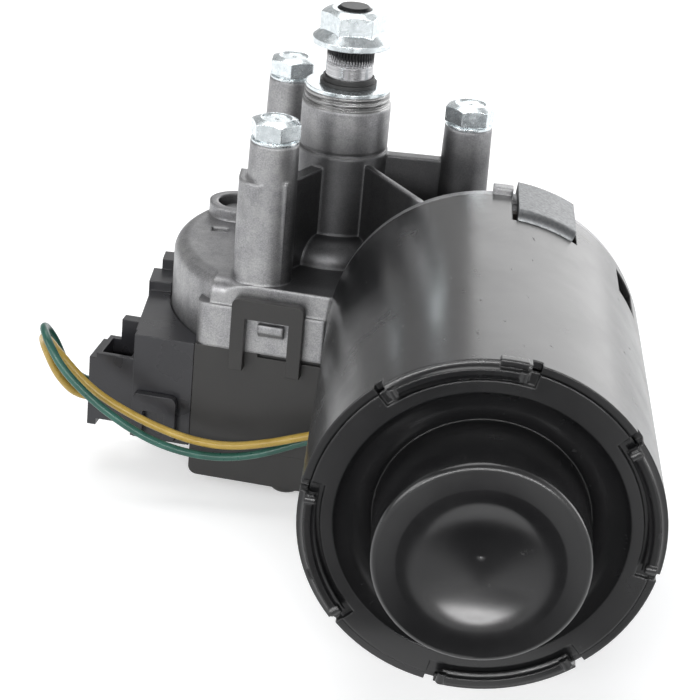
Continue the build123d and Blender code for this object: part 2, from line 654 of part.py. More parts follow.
def dimple(lip_r, cup_r):
    """Soft dimple: an arc over its edge, tangent to a cup centred on the axis."""
    top = DOME_FRONT
    edge = (DIMPLE_R, top + DIMPLE_LIP_R)
    reach = (DIMPLE_R ** 2 + DIMPLE_DEPTH ** 2) / (2 * DIMPLE_DEPTH)
    cup = (0, top + DIMPLE_DEPTH - (reach - DIMPLE_LIP_R))
    lean = math.asin(DIMPLE_R / reach)
    meet = (cup_r * math.sin(lean), cup[1] + cup_r * math.cos(lean))
    over = (edge[0] - lip_r * math.sin(lean / 2), edge[1] - lip_r * math.cos(lean / 2))
    under = (cup_r * math.sin(lean / 2), cup[1] + cup_r * math.cos(lean / 2))
    start = (DIMPLE_R, edge[1] - lip_r)
    return [ThreePointArc(start, over, meet), ThreePointArc(meet, under, (0, cup[1] + cup_r))]


def end_cap():
    """Pressed disc with a deep valley round a bearing cup and a soft central dimple."""
    rim = CAN_R - CAN_WALL - 0.1
    t = CAP_T
    front = CAN_FRONT - 0.4
    floor = front + VALLEY_DEPTH
    top = DOME_FRONT
    wall = DOME_R - t
    reach = (DIMPLE_R ** 2 + DIMPLE_DEPTH ** 2) / (2 * DIMPLE_DEPTH)
    cup_r = reach - DIMPLE_LIP_R
    bottom = top + DIMPLE_DEPTH
    profile = [
        Polyline((rim, front), (27.8, front)),
        bow((27.8, front), (24.0, front + 2.4), -0.45),
        bow((24.0, front + 2.4), (DOME_R + 0.4, floor), 0.3),
        Line((DOME_R + 0.4, floor), (DOME_R, top + 1.6)),
        bow((DOME_R, top + 1.6), (DOME_R - 1.2, top + 0.4), 0.35),
        bow((DOME_R - 1.2, top + 0.4), (DIMPLE_R, top), 0.03),
        *dimple(DIMPLE_LIP_R, cup_r),
        Line((0, bottom), (0, bottom + t)),
        *[edge for edge in reversed(dimple(DIMPLE_LIP_R - t, cup_r + t))],
        Polyline((DIMPLE_R, top + t), (wall - 0.8, top + t + 0.4), (wall, top + t + 1.2),
                 (wall, floor + t), (22.6, floor + t), (26.6, front + t + 0.7),
                 (28.6, front + t), (rim, front + t),
                 (rim, front)),
    ]
    cap = turned_about_motor(profile)
    for centre in LIP_ANGLES:
        span = LIP_SPAN + 2 * POCKET
        cap -= sector(CAN_R - LIP_IN - LIP_SLOT, CAN_R, front - 1, front + 0.9, centre, span)
    return cap


def magnets():
    outer = CAN_R - CAN_WALL - 0.05
    y0 = (CORE_BACK + CORE_FRONT) / 2 - MAGNET_L / 2
    pieces = [sector(outer - MAGNET_T, outer, y0, y0 + MAGNET_L, angle, MAGNET_SPAN)
              for angle in (45, 135, 225, 315)]
    clips = []
    for angle in (0, 90, 180, 270):
        wall = sector(outer - 0.7, outer, y0 + 3, y0 + MAGNET_L - 3, angle, 18)
        nose = sector(outer - 4.5, outer - 0.6, y0 + 8, y0 + MAGNET_L - 8, angle, 6)
        clips.append(wall + nose)
    return Compound(children=pieces), Compound(children=clips)


def grommet_rod(radius, inward, outward):
    """Rod along the wires' first runs, measured from their start plane."""
    middle = Vector(4.6, -38.55, -70.1)
    out = Vector(*YELLOW_ROUTE[1]) - Vector(*YELLOW_ROUTE[0])
    plane = Plane(origin=middle - out.normalized() * inward, z_dir=out)
    return extrude(plane * Circle(radius), inward + outward)


def wire_grommet():
    """Rubber sleeve in the can wall that the two wires leave through."""
    body = grommet_rod(GROMMET_R, 12, 0)
    collar = grommet_rod(GROMMET_R + 0.8, 12, 0) & rod_y(CAN_R + 1.4, -50, CAN_BACK)
    return body + collar - rod_y(CAN_R + SEAT, -60, 0) + (
        grommet_rod(GROMMET_R, 12, 0) & (rod_y(CAN_R + 0.5, -50, CAN_BACK)
                                         - rod_y(CAN_R - CAN_WALL + 0.1, -60, 0)))


def can_clips():
    """Bent steel clips with a rolled front edge, hooked over the housing flange."""
    made = []
    back = CAN_BACK + FLANGE_T
    inner = CAN_R - CAN_WALL + 0.1
    outer = CAN_R + 1.6
    span = CLIP_SPAN - 3.5
    for centre in CLIP_ANGLES:
        roll = sector(inner, outer, CLIP_FRONT, CLIP_FRONT + 3.4, centre, span)
        edge = roll.edges().filter_by(GeomType.CIRCLE).group_by(Axis.Y)[0]
        roll = fillet(edge.sort_by(lambda arc: arc.radius)[-1], 2.6)
        plate = sector(CAN_R - 0.2, outer, CLIP_FRONT + 3.2, back + 2.6, centre, span)
        hook = sector(CAN_R - 4, outer, back + 0.1, back + 2.6, centre, span)
        made.append(roll + plate + hook)
    return Compound(children=made)


# ---------------------------------------------------------------- brush gear
def brush_plate():
    front = PLATE_BACK - PLATE_T
    plate = rod_y(CAN_R - CAN_WALL - 0.1, front, PLATE_BACK)
    return plate - rod_y(COMM_R + 2.0, front - 1, PLATE_BACK + 1)


def brush_gear():
    """Boxes, carbon brushes and springs, one set for each brush angle."""
    boxes = []
    brushes = []
    springs = []
    inner = COMM_R + 0.1
    top = PLATE_BACK - PLATE_T
    size = BRUSH / 2
    mid = top - HOLDER_T - RUN - size
    wall = size + RUN + HOLDER_T
    for angle in BRUSH_ANGLES:
        place = Pos(MX, mid, GEAR_Z) * Rot(0, -angle, 0)
        shell = block(inner + 2, inner + 16.5, -wall, wall, -wall, wall)
        shell -= block(inner + 1, inner + 15.9, -size - RUN, size + RUN, -size - RUN, size + RUN)
        boxes.append(place * shell)
        brushes.append(place * block(inner, inner + BRUSH_L, -size, size, -size, size))
        coil = Pos(inner + (BRUSH_L + 15.9) / 2, 0, 0) * Rot(0, 90, 0)
        length = 15.9 - BRUSH_L
        springs.append(place * coil * (Cylinder(2.3, length) - Cylinder(1.5, length + 1)))
    return boxes, brushes, springs


def chokes():
    made = []
    top = PLATE_BACK - PLATE_T
    for angle in CHOKE_ANGLES:
        place = Pos(MX, top - 3.0, GEAR_Z) * Rot(0, -angle, 0) * Pos(22.5, 0, 0)
        made.append(place * (Cylinder(3.0, 11) + Cylinder(1.6, 17)))
    return Compound(children=made)


# ---------------------------------------------------------------- cover group
def can_room():
    """Space the can and its flange take up beside the cover."""
    return block(MX - CAN_R - 0.4, 90, -90, CAN_BACK + FLANGE_T + 0.4, -110, 0)


def skirt_room(clearance):
    """Space of the housing's hanging skirt."""
    ring = rod(HOUSING_R + clearance, SKIRT_Z - clearance, BOTTOM_Z)
    ring -= rod(HOUSING_R - SKIRT_T - clearance, SKIRT_Z - 2, BOTTOM_Z + 1)
    return ring & block(-60, -18 + clearance, -27.0 - clearance, 24 + clearance, -90, 0)


def gear_cover():
    top = BOTTOM_Z
    tub = rod(HOUSING_R - SKIRT_T - GAP, COVER_FLOOR_Z, top)
    tub -= TURNED * block(-80, 80, -80, FRONT_W, -100, 0)
    pod = block(BLOCK_RIGHT, 12, FRONT_W, -4, POD_Z, top)
    step = block(BLOCK_RIGHT, 12, FRONT_W + 0.8, -6, STEP_Z, POD_Z + 1)
    step = fillet(step.edges().filter_by(Axis.Y).group_by(Axis.Z)[0], 2.0)
    bump = Pos(-1.5, FRONT_W + 5.2, 0) * rod(3.6, STEP_Z - 1.8, STEP_Z + 1)
    bump = fillet(bump.edges().group_by(Axis.Z)[0], 1.2)
    body = tub + TURNED * (pod + step + bump)
    body -= can_room() + skirt_room(GAP)
    body -= rod(CAVITY_R, BOTTOM_Z - 7.5, BOTTOM_Z + 1)
    body -= rod(GASKET_R + 0.1, BOTTOM_Z - 0.9, BOTTOM_Z + 1)
    body += rod(8.0, COVER_FLOOR_Z, SHAFT_BOTTOM - 3.0)
    return body + cover_ribs() + TURNED * cover_latch()


def cover_ribs():
    """Stiffening ribs under the round floor of the cover."""
    low = COVER_FLOOR_Z - RIB_H
    shape = rod(15.0, low, COVER_FLOOR_Z + 0.5) - rod(13.4, low - 1, COVER_FLOOR_Z + 1)
    for angle in (30, 70, 110, 150, 190):
        shape += Rot(0, 0, angle) * block(14, 33, -0.8, 0.8, low, COVER_FLOOR_Z + 0.5)
    pod = TURNED * block(BLOCK_RIGHT - 1, 13, FRONT_W - 1, -3, STEP_Z, COVER_FLOOR_Z + 1)
    return shape - pod - can_room()


def hoop(left, right, low, high, leg, thick, front):
    """Snap loop: a frame open at the bottom, standing in front of a wall."""
    frame = block(left, right, front - thick, front, low, high)
    frame = fillet(frame.edges().filter_by(Axis.Y).group_by(Axis.Z)[-1], 1.6)
    window = block(left + leg, right - leg, front - thick - 1, front + 1, low - 1, high - leg - 1.4)
    return frame - window


def cover_latch():
    front = FRONT_W - COVER_GAP
    frame = hoop(LATCH_LEFT, LATCH_RIGHT, LATCH_FOOT, LATCH_TOP, LATCH_LEG, LATCH_T, front)
    for left in (LATCH_LEFT, LATCH_RIGHT - LATCH_LEG):
        frame += block(left, left + LATCH_LEG, front, FRONT_W + 0.4, LATCH_FOOT, BOTTOM_Z - 0.4)
    return frame


def cover_gasket():
    ring = rod(GASKET_R, BOTTOM_Z - 0.9, BOTTOM_Z)
    ring -= rod(GASKET_R - GASKET_W, BOTTOM_Z - 2, BOTTOM_Z + 1)
    return ring - TURNED * block(-80, 80, -80, FRONT_W + 0.6, -100, 0) - can_room()


def thrust_button():
    return rod(3.5, SHAFT_BOTTOM - 3.0, SHAFT_BOTTOM - 0.1)


def contact_carrier():
    z = BOTTOM_Z - 7.5
    plate = rod(29.5, z, z + 1.6) - rod(9.0, z - 1, z + 3)
    return plate & block(-40, 40, -1, 40, -80, 0)


def park_contacts():
    """Three sprung fingers that ride under the contact ring."""
    made = []
    base = BOTTOM_Z - 7.5 + 1.6
    tip = GEAR_Z - WHEEL_W / 2 - 0.5 - GAP
    for radius in (13.5, 20.0, 24.5):
        foot = block(6, 12, radius - 1.2, radius + 1.2, base, base + 0.5)
        arm = block(-4, 6.5, radius - 1.2, radius + 1.2, base, base + 0.5)
        rise = block(-4, -3.4, radius - 1.2, radius + 1.2, base, tip)
        made.append(foot + arm + rise)
    return Compound(children=made)


def connector_housing():
    outline = Polyline((BLOCK_LEFT, -24.6), (BLOCK_LEFT, BLOCK_BACK), (-30.0, BLOCK_BACK),
                       (-24.0, -12.0), (-28.5, -29.4), close=True)
    body = extrude(Pos(0, 0, BLOCK_BOTTOM) * make_face(outline), BLOCK_TOP - BLOCK_BOTTOM)
    corner = rod(HOUSING_R + GAP, BLOCK_BOTTOM - 1, 0)
    front_box = block(-38.0, BLOCK_RIGHT - 0.1, FRONT_W, -24, BLOCK_BOTTOM, BLOCK_TOP)
    front_box = fillet(front_box.edges().filter_by(Axis.Y).group_by(Axis.Z)[0], 1.0)
    step_1 = block(BLOCK_LEFT - 0.4, -36, BLOCK_BACK - 0.5, 8, BLOCK_BOTTOM + 8, BLOCK_TOP + 2.4)
    step_2 = block(-41.0, -36, 7.5, 13, BLOCK_BOTTOM + 8, BLOCK_TOP + 5)
    body += TURNED * front_box + step_1 + step_2
    body -= corner
    body -= TURNED * block(BLOCK_RIGHT - 0.1, 30, -60, 30, -100, 0)
    return body + TURNED * (socket() + small_latch())


def socket():
    """Upward-facing plug socket beside the connector block."""
    front = FRONT_W + 0.6
    back = front + SOCKET_DEPTH
    low = block(SOCKET_LEFT, SOCKET_RIGHT + 2, front, back, SOCKET_BOTTOM, SOCKET_TOP - 1.2)
    mouth = block(SOCKET_LEFT + 1.6, SOCKET_RIGHT + 2, front, back, SOCKET_TOP - 4, SOCKET_TOP)
    wall = block(SOCKET_LEFT + 4.6, SOCKET_RIGHT + 2, back - 1.4, back + 1.6, SOCKET_TOP - 8,
                 SOCKET_TOP + 5)
    foot = block(SOCKET_LEFT, SOCKET_LEFT + 2, front, front + 6, SOCKET_BOTTOM - 1.6,
                 SOCKET_TOP - 8)
    body = low + mouth + wall + foot
    hole = block(SOCKET_LEFT + 1.6 + SOCKET_WALL, SOCKET_RIGHT - 0.4, front + SOCKET_WALL,
                 back - 1.4, SOCKET_TOP - 10, SOCKET_TOP + 6)
    return body - hole


def small_latch():
    front = FRONT_W - COVER_GAP
    frame = hoop(-37.4, -27.0, POD_Z, POD_Z + 10.8, 2.7, 1.7, front)
    lug = block(-33.8, -30.6, FRONT_W - 1.2, FRONT_W + 1, POD_Z + 6.4, POD_Z + 8.2)
    for left in (-37.4, -29.7):
        frame += block(left, left + 2.7, front, FRONT_W + 0.4, POD_Z, POD_Z + 2.5)
    return frame + lug


def connector_terminals():
    pins = []
    front = FRONT_W + 0.6
    for x in (-44.8, -41.6):
        for y in (3.2, 6.8):
            pin = block(x - PIN_W / 2, x + PIN_W / 2, front + y - PIN_T / 2,
                        front + y + PIN_T / 2, SOCKET_TOP - 10, SOCKET_TOP - 4)
            pins.append(TURNED * pin)
    return Compound(children=pins)


# ---------------------------------------------------------------- wires
# Route points chosen by hand: out of the can's grommet, round a loop on the left, and back
# into the left face of the connector block. Each end run is square to what it meets.
YELLOW_ROUTE = [
    (4.27, -39.6, -69.11), (-2.0, -39.6, -71.2), (-10.2, -39.2, -74.0), (-18.8, -38.2, -76.2),
    (-27.1, -37.0, -76.2), (-35.6, -35.8, -74.2), (-43.6, -34.8, -71.2), (-50.3, -33.9, -67.7),
    (-55.2, -33.2, -63.4), (-58.9, -32.4, -59.6), (-62.4, -28.4, -57.9), (-64.3, -23.6, -60.2),
    (-63.5, -21.0, -65.0), (-61.2, -17.6, -72.5), (-56.9, -13.6, -79.0), (-49.4, -11.2, -79.4),
    (BLOCK_LEFT, -11.2, -79.4),
]
GREEN_ROUTE = [
    (4.93, -37.5, -71.09), (-2.0, -37.5, -73.4), (-10.1, -37.3, -77.3), (-18.6, -37.7, -79.3),
    (-26.8, -38.3, -79.0), (-35.1, -38.6, -76.9), (-43.0, -38.3, -73.0), (-50.6, -37.6, -67.9),
    (-57.3, -36.9, -61.6), (-61.0, -34.6, -56.4), (-63.1, -29.6, -54.9), (-63.1, -24.5, -57.1),
    (-61.0, -22.2, -61.8), (-59.3, -18.4, -69.4), (-54.8, -12.8, -75.4), (-49.2, -8.4, -76.6),
    (BLOCK_LEFT, -8.4, -76.6),
]


def wire(route, name):
    points = [Vector(*place) for place in route]
    runs = [(b - a).length for a, b in zip(points, points[1:])]
    radii = []
    for i in range(1, len(points) - 1):
        before = points[i] - points[i - 1]
        after = points[i + 1] - points[i]
        half = math.radians(before.get_angle(after)) / 2
        radii.append(0.45 * min(runs[i - 1], runs[i]) / math.tan(half))
    line = FilletPolyline(*points, radius=radii)
    start = points[0]
    disc = Plane(origin=start, z_dir=points[1] - start) * Circle(WIRE_R)
    tube = sweep(disc, path=line)
    print(name, "radii", [round(r, 1) for r in radii], "length", round(line.length, 1),
          "volume ratio", round(tube.volume / (math.pi * WIRE_R ** 2 * line.length), 4))
    return tube


def main():
    save(gear_housing(), "gear_housing")
    top, low = bushes()
    save(top, "output_bush_upper")
    save(low, "output_bush_lower")
    washer, seal = tower_trim()
    save(washer, "tower_washer")
    save(seal, "shaft_seal_ring")
    save(mounting_bolts(), "mounting_bolts")
    save(bolt_washers(), "bolt_washers")
    save(output_shaft(), "output_shaft")
    save(flange_nut(), "flange_nut")
    save(worm_wheel(), "worm_wheel")
    save(wheel_hub(), "wheel_hub")
    washer, clip = small_rings()
    save(washer, "wheel_thrust_washer")
    save(clip, "wheel_circlip")
    save(contact_disc(), "park_contact_ring")
    save(armature_shaft(), "armature_shaft")
    save(armature_core(), "armature_core")
    save(armature_windings(), "armature_windings")
    hub, bars = commutator()
    save(hub, "commutator_hub")
    save(bars, "commutator_bars")
    outer, inner, balls = ball_bearing()
    save(outer, "bearing_outer_race")
    save(inner, "bearing_inner_race")
    save(balls, "bearing_balls")
    ball, spring = dome_bearing()
    save(ball, "dome_bearing")
    save(spring, "dome_bearing_spring")
    bush, screw = worm_end()
    save(bush, "worm_end_bush")
    save(screw, "end_play_screw")
    save(yoke_can(), "yoke_can")
    save(end_cap(), "end_cap")
    arcs, clips = magnets()
    save(arcs, "field_magnets")
    save(clips, "magnet_clips")
    save(can_clips(), "can_clips")
    save(wire_grommet(), "wire_grommet")
    save(brush_plate(), "brush_plate")
    boxes, brushes, springs = brush_gear()
    save(Compound(children=boxes), "brush_boxes")
    for index, (brush, spring) in enumerate(zip(brushes, springs), 1):
        save(brush, f"brush_{index}")
        save(spring, f"brush_spring_{index}")
    save(chokes(), "suppression_chokes")
    save(gear_cover(), "gear_cover")
    save(cover_gasket(), "cover_gasket")
    save(thrust_button(), "thrust_button")
    save(contact_carrier(), "contact_carrier")
    save(park_contacts(), "park_contacts")
    save(connector_housing(), "connector_housing")
    save(connector_terminals(), "connector_terminals")
    save(wire(YELLOW_ROUTE, "yellow_wire"), "yellow_wire")
    save(wire(GREEN_ROUTE, "green_wire"), "green_wire")


if __name__ == "__main__":
    os.makedirs("parts", exist_ok=True)
    main()
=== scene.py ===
import json
import math

import bmesh
import bpy
from mathutils import Matrix, Vector


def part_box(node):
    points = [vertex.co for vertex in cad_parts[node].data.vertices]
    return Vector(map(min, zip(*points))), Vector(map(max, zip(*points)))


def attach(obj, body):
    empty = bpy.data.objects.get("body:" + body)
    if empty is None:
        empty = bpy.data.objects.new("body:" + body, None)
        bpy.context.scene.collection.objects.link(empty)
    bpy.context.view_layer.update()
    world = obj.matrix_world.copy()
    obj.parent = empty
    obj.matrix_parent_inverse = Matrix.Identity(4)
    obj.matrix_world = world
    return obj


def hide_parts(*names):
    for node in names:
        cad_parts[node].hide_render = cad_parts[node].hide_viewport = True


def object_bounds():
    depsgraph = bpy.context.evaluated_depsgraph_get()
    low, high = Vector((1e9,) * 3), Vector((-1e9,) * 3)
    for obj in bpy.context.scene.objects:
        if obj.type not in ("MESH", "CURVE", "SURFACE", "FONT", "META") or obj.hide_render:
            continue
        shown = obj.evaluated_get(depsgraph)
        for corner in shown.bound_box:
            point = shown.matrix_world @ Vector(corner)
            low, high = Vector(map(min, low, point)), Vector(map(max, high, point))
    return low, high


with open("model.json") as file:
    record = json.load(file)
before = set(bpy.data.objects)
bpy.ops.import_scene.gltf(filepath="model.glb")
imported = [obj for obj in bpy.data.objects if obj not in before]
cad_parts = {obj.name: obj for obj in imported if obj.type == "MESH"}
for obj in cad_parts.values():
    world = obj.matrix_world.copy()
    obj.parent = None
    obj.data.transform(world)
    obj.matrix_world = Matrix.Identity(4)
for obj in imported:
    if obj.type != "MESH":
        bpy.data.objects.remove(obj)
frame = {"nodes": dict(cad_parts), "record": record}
cad_box = [list(map(float, corner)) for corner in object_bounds()]
NODES = frame["nodes"]

# ------------------------------------------------------------------ camera
CAMERA_PLACE = (0.0147713, -0.4938592, 0.1493482)
CAMERA_TURN = 1.034861    # degrees to the left of +Y
CAMERA_DOWN = 23.455778   # degrees below the horizon
CAMERA_ROLL = 5.289729    # degrees about the line of sight
FOCAL_LENGTH = 115.575    # millimetres, as the sensor
SENSOR_WIDTH = 36.0
FRAME_SHIFT = (0.00031, -0.00636)


def turned(degrees, axis):
    return Matrix.Rotation(math.radians(degrees), 4, axis)


def place_camera():
    data = bpy.data.cameras.new("camera")
    data.lens = FOCAL_LENGTH
    data.sensor_width = SENSOR_WIDTH
    data.shift_x, data.shift_y = FRAME_SHIFT
    data.clip_start = 0.01
    camera = bpy.data.objects.new("camera", data)
    aim = turned(CAMERA_TURN, "Z") @ turned(90 - CAMERA_DOWN, "X") @ turned(CAMERA_ROLL, "Z")
    camera.matrix_world = Matrix.Translation(CAMERA_PLACE) @ aim
    bpy.context.collection.objects.link(camera)
    bpy.context.scene.camera = camera


place_camera()

# ------------------------------------------------------------------ wires
WIRE_D = 0.0019
POINT_RADIUS = WIRE_D / 2  # a curve's bounds reach this far round its points
# The routes' points are in millimetres.
YELLOW_ROUTE = [
    (4.27, -39.6, -69.11), (-2.0, -39.6, -71.2), (-10.2, -39.2, -74.0), (-18.8, -38.2, -76.2),
    (-27.1, -37.0, -76.2), (-35.6, -35.8, -74.2), (-43.6, -34.8, -71.2), (-50.3, -33.9, -67.7),
    (-55.2, -33.2, -63.4), (-58.9, -32.4, -59.6), (-62.4, -28.4, -57.9), (-64.3, -23.6, -60.2),
    (-63.5, -21.0, -65.0), (-61.2, -17.6, -72.5), (-56.9, -13.6, -79.0), (-49.4, -11.2, -79.4),
    (-42.6, -11.2, -79.4),
]
GREEN_ROUTE = [
    (4.93, -37.5, -71.09), (-2.0, -37.5, -73.4), (-10.1, -37.3, -77.3), (-18.6, -37.7, -79.3),
    (-26.8, -38.3, -79.0), (-35.1, -38.6, -76.9), (-43.0, -38.3, -73.0), (-50.6, -37.6, -67.9),
    (-57.3, -36.9, -61.6), (-61.0, -34.6, -56.4), (-63.1, -29.6, -54.9), (-63.1, -24.5, -57.1),
    (-61.0, -22.2, -61.8), (-59.3, -18.4, -69.4), (-54.8, -12.8, -75.4), (-49.2, -8.4, -76.6),
    (-42.6, -8.4, -76.6),
]


def metres(place):
    return tuple(value / 1000 for value in place)


def wire(name, route):
    """Insulated wire as a smooth round tube along its route."""
    curve = bpy.data.curves.new(name, "CURVE")
    curve.dimensions = "3D"
    curve.bevel_depth = WIRE_D / 2 / POINT_RADIUS  # is multiplied by the points' radius
    curve.bevel_resolution = 5
    curve.resolution_u = 10
    curve.use_fill_caps = True
    spline = curve.splines.new("NURBS")
    spline.points.add(len(route) - 1)
    for point, place in zip(spline.points, route):
        point.co = (*metres(place), 1)
        point.radius = POINT_RADIUS
    spline.order_u = 3
    spline.use_endpoint_u = True
    obj = bpy.data.objects.new(name + "_sheath", curve)
    bpy.context.collection.objects.link(obj)
    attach(obj, "housing")
    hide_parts(name)
    return obj


yellow = wire("yellow_wire", YELLOW_ROUTE)
green = wire("green_wire", GREEN_ROUTE)


# ------------------------------------------------------------------ node helpers
def is_socket(value):
    return hasattr(value, "is_linked")


def feed(tree, socket, value):
    """Links another node's output to the socket, or sets a plain value on it."""
    if is_socket(value):
        tree.links.new(value, socket)
    else:
        socket.default_value = value


def calculate(tree, way, first, second=0.5):
    node = tree.nodes.new("ShaderNodeMath")
    node.operation = way
    for socket, value in zip(node.inputs, (first, second)):
        feed(tree, socket, value)
    return node.outputs[0]


def map_range(tree, value, low, high, start=0.0, end=1.0, easing="SMOOTHSTEP"):
    """start at low, end at high, held flat outside."""
    node = tree.nodes.new("ShaderNodeMapRange")
    node.interpolation_type = easing
    limits = {"From Min": low, "From Max": high, "To Min": start, "To Max": end}
    for key, number in limits.items():
        feed(tree, node.inputs[key], number)
    feed(tree, node.inputs["Value"], value)
    return node.outputs["Result"]


def seen_directly(tree):
    """1 for camera, glossy and transmission rays, 0 for the rays that light things."""
    path = tree.nodes.new("ShaderNodeLightPath")
    seen = path.outputs["Is Camera Ray"]
    for name in ("Is Glossy Ray", "Is Transmission Ray"):
        seen = calculate(tree, "MAXIMUM", seen, path.outputs[name])
    return seen


def with_alpha(colour):
    """A colour from three numbers, or from one number for a grey."""
    if isinstance(colour, (int, float)):
        colour = (colour, colour, colour)
    return (*colour, 1)


def new_material(name):
    """A material with its node tree and its shader."""
    material = bpy.data.materials.new(name)
    material.use_nodes = True
    return material, material.node_tree, material.node_tree.nodes["Principled BSDF"]


# ------------------------------------------------------------------ materials
BEVEL_SAMPLES = 6
RINGS_ROUND_Z = (0.02, 0.02, 1.0)  # stretches noise into rings round the Z axis


class Paint:
    """Short way to write a node material on Object coordinates."""

    def __init__(self, name):
        self.material, self.tree, self.shader = new_material(name)
        self.coords = self.tree.nodes.new("ShaderNodeTexCoord").outputs["Object"]

    def node(self, kind, **sockets):
        """A new shader node, with its named inputs fed."""
        node = self.tree.nodes.new("ShaderNode" + kind)
        for key, value in sockets.items():
            feed(self.tree, node.inputs[key], value)
        return node

    def put(self, **values):
        """Values that are the same all over, on the shader's own sockets."""
        for key, value in values.items():
            self.shader.inputs[key].default_value = value

    def stretched(self, scale):
        return self.node("Mapping", Scale=scale, Vector=self.coords).outputs["Vector"]

    def noise(self, grain, detail=3.0, rough=0.55, vector=None):
        """Fractal noise whose lumps are grain metres across."""
        node = self.node("TexNoise", Scale=1 / grain, Detail=detail, Roughness=rough,
                         Vector=vector or self.coords)
        return node.outputs["Fac"]

    def ramp(self, value, stops):
        """Colours or greys by value, each stop a (place, colour) pair."""
        node = self.node("ValToRGB", Fac=value)
        elements = node.color_ramp.elements
        while len(elements) < len(stops):
            elements.new(0.5)
        for element, (place, colour) in zip(elements, stops):
            element.position = place
            element.color = with_alpha(colour)
        return node.outputs["Color"]

    def mix(self, factor, first, second, way="MIX"):
        node = self.node("Mix")
        node.data_type = "RGBA"
        node.blend_type = way
        factor_socket, first_socket, second_socket = (node.inputs[key] for key in (0, 6, 7))
        feed(self.tree, factor_socket, factor)
        for socket, value in ((first_socket, first), (second_socket, second)):
            feed(self.tree, socket, value if is_socket(value) else with_alpha(value))
        return node.outputs[2]

    def calculate(self, way, first, second=0.5):
        return calculate(self.tree, way, first, second)

    def times(self, first, second):
        return self.calculate("MULTIPLY", first, second)

    def place(self):
        """Object coordinates as three separate values."""
        return self.node("SeparateXYZ", Vector=self.coords).outputs

    def between(self, value, low, high):
        """0 at low, 1 at high, held flat outside."""
        return map_range(self.tree, value, low, high)

    def facing(self):
        """How far the surface faces up, from -1 to 1."""
        normal = self.node("NewGeometry").outputs["Normal"]
        return self.node("SeparateXYZ", Vector=normal).outputs["Z"]

    def rounded(self, radius):
        """The surface's normal as if its edges were rounded by radius."""
        bevel = self.node("Bevel", Radius=radius)
        bevel.samples = BEVEL_SAMPLES
        return bevel.outputs["Normal"]

    def edges(self, radius=0.0004):
        """0 on flat areas, rising towards sharp edges."""
        dot = self.node("VectorMath")
        dot.operation = "DOT_PRODUCT"
        feed(self.tree, dot.inputs[0], self.rounded(radius))
        feed(self.tree, dot.inputs[1], self.node("NewGeometry").outputs["Normal"])
        return self.calculate("SUBTRACT", 1.0, dot.outputs["Value"])

    def surface(self, layers, round_by=0.0):
        """Bump layers (height, strength, depth in metres), on rounded edges."""
        normal = self.rounded(round_by) if round_by else None
        for height, strength, depth in layers:
            bump = self.node("Bump", Height=height, Strength=strength, Distance=depth)
            if normal is not None:
                feed(self.tree, bump.inputs["Normal"], normal)
            normal = bump.outputs["Normal"]
        feed(self.tree, self.shader.inputs["Normal"], normal)

    def colour(self, socket):
        feed(self.tree, self.shader.inputs["Base Color"], socket)

    def rough(self, socket):
        feed(self.tree, self.shader.inputs["Roughness"], socket)


# Where the casting's tone and its painted shade change, in metres from the washer's top centre.
SPIGOT_FOOT = (-0.0043, -0.0041)   # heights: turned above, as cast below
PAINTED_SHADE_ACROSS = (-0.014, -0.007)     # painted shade, darkening from the tower to the right
PAINTED_SHADE_DEPTH = (-0.030, -0.026)
PAINTED_SHADE_HEIGHT = (-0.004, -0.016)
# Where the roof's painted shade lies, and how far a face must point up to get it.
ROOF_SHADE_ACROSS = (-0.034, -0.012)
ROOF_SHADE_HEIGHT = (-0.030, -0.033)
FACING_UP = (0.80, 0.98)


def cast_alloy():
    """Sand-grey die casting: speckle, cloudy tone, worn edges, and painted shade that darkens the
    tower's lower part and the roof.
    """
    p = Paint("cast_alloy")
    speckle = p.noise(0.00032, 3, 0.6)
    cloud = p.noise(0.009, 3, 0.6)
    across, depth, height = p.place()
    spigot = p.between(height, *SPIGOT_FOOT)
    rings = p.noise(0.0002, 2, 0.5, p.stretched(RINGS_ROUND_Z))

    tone = p.ramp(speckle, [(0.30, (0.26, 0.26, 0.265)), (0.5, (0.33, 0.33, 0.335)),
                            (0.70, 0.43)])
    shade = p.ramp(cloud, [(0.3, (0.70, 0.70, 0.72)), (0.7, 1.0)])
    cast = p.mix(1.0, tone, shade, "MULTIPLY")
    patch = p.ramp(p.noise(0.0032, 4, 0.7), [(0.42, 0.0), (0.62, 0.34)])
    cast = p.mix(patch, cast, (0.45, 0.45, 0.445))
    flow = p.noise(0.0055, 3, 0.65, p.stretched((1.0, 1.0, 0.4)))
    cast = p.mix(p.ramp(flow, [(0.52, 0.0), (0.72, 0.5)]), cast, (0.20, 0.20, 0.205))

    # Painted shade: from the tower to the right, behind the front and low down, the casting is
    # darkened towards near black, as if shade fell in the recesses there.
    tower_shade = p.times(p.between(across, *PAINTED_SHADE_ACROSS), p.between(depth, *PAINTED_SHADE_DEPTH))
    tower_shade = p.times(tower_shade, p.between(height, *PAINTED_SHADE_HEIGHT))
    cast = p.mix(p.times(tower_shade, 0.78), cast, (0.045, 0.045, 0.047))
    # Painted shade: the upward faces low on the roof are darkened, more so towards the tower on
    # the right.
    roof_shade = p.times(p.between(p.facing(), *FACING_UP), p.between(height, *ROOF_SHADE_HEIGHT))
    roof_shade = p.times(roof_shade, p.calculate("ADD", p.between(across, *ROOF_SHADE_ACROSS), 0.55))
    cast = p.mix(p.times(roof_shade, 0.50), cast, (0.10, 0.10, 0.104))
    worn = p.ramp(p.edges(), [(0.05, 0.0), (0.25, 0.22)])
    cast = p.mix(worn, cast, 0.62)

    p.colour(p.mix(spigot, cast, p.ramp(rings, [(0.35, 0.13), (0.65, 0.40)])))
    rough = p.ramp(speckle, [(0.3, 0.50), (0.7, 0.38)])
    p.rough(p.mix(spigot, rough, 0.27))
    p.put(Metallic=0.96)
    p.surface([(p.noise(0.0016, 3, 0.6), 0.3, 0.00010), (speckle, 0.12, 0.00004)], 0.0010)
    return p.material


